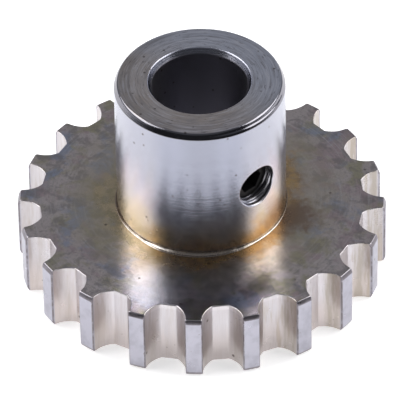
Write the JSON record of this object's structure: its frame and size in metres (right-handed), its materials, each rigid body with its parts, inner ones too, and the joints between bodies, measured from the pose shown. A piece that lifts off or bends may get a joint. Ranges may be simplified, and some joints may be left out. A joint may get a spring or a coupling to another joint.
{
  "type": "timing belt pulley",
  "caption": "Flangeless timing belt pulley: toothed disc on a bored hub, brazed ring at the foot, radial set screw.",
  "frame": {"origin": "centre of the shaft bore at the disc's back face", "axes": "+Z along the shaft bore towards the hub's nose; +X along the set screw, out of its hole, over a belt groove"},
  "size_m": [0.0308, 0.0308, 0.0189],
  "materials": {
    "disc_steel": "plated, semi-gloss, light machining marks and brown heat tint near the hub",
    "hub_steel": "plated, turned, semi-gloss, brown heat tint at its foot",
    "braze": "thin bright filler ring, plated over",
    "black_steel": "black oxide"
  },
  "bodies": {
    "pulley": {"toothed_disc": "disc_steel", "hub_sleeve": "hub_steel", "braze_fillet": "braze"},
    "set_screw": {"set_screw": "black_steel"}
  },
  "joints": [
    {"name": "set_screw_travel", "type": "slide", "parent": "pulley", "child": "set_screw", "axis": [1, 0, 0], "range_m": [-0.0005, 0.0025]}
  ]
}
